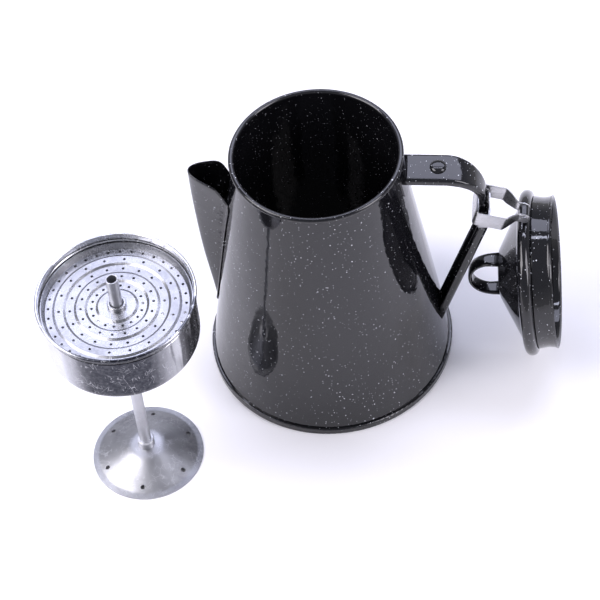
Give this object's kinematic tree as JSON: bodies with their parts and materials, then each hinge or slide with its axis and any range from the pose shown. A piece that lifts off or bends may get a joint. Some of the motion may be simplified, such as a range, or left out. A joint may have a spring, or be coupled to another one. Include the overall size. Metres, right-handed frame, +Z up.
{
  "type": "coffee percolator",
  "caption": "Enamelled steel camp percolator with strap handle, gutter spout, linked lift-over lid, and an aluminium pump with basket and spreader beside it.",
  "frame": {"origin": "centre of the pot's flat underside, on the floor", "axes": "+Z up along the pot's axis, +X towards the handle, -X towards the spout; the pump unit stands at -X, -Y"},
  "size_m": [0.337, 0.2443, 0.199],
  "materials": {
    "enamel": "gloss",
    "stainless": "brushed",
    "spun_aluminium": "bright, lightly scratched",
    "tube_aluminium": "satin"
  },
  "bodies": {
    "pot": {"pot_wall": "enamel", "pot_bottom": "enamel", "spout": "enamel", "handle_upper_arm": "enamel", "handle_lower_arm": "enamel", "handle_root_bracket": "enamel", "handle_rivet": "enamel", "handle_clip": "stainless"},
    "link": {"hinge_link": "stainless", "hinge_pin": "stainless"},
    "lid": {"lid_dome": "enamel", "lid_bead": "enamel", "lid_collar": "enamel", "lid_loop_handle": "enamel", "lid_ear": "enamel"},
    "pump": {"pump_tube": "tube_aluminium", "pump_bell": "spun_aluminium", "bell_ferrule": "tube_aluminium", "basket_stop": "tube_aluminium"},
    "basket": {"basket_shell": "spun_aluminium", "basket_sleeve": "tube_aluminium"},
    "spreader": {"spreader_plate": "spun_aluminium", "spreader_neck": "spun_aluminium"}
  },
  "joints": [
    {"name": "link_swing", "type": "hinge", "parent": "pot", "child": "link", "pos_m": [0.086, 0, 0.1555], "axis": [0, -1, 0], "range_deg": [0, 130]},
    {"name": "lid_swing", "type": "hinge", "parent": "link", "child": "lid", "pos_m": [0.13589, 0, 0.14194], "axis": [0, -1, 0], "range_deg": [-2, 134.6]},
    {"name": "pump_lift", "type": "slide", "parent": "pot", "child": "pump", "axis": [0, 0, 1], "range_m": [0, 0.22]},
    {"name": "basket_lift", "type": "slide", "parent": "pump", "child": "basket", "axis": [0, 0, 1], "range_m": [0, 0.07]},
    {"name": "spreader_lift", "type": "slide", "parent": "basket", "child": "spreader", "axis": [0, 0, 1], "range_m": [0, 0.045]}
  ]
}
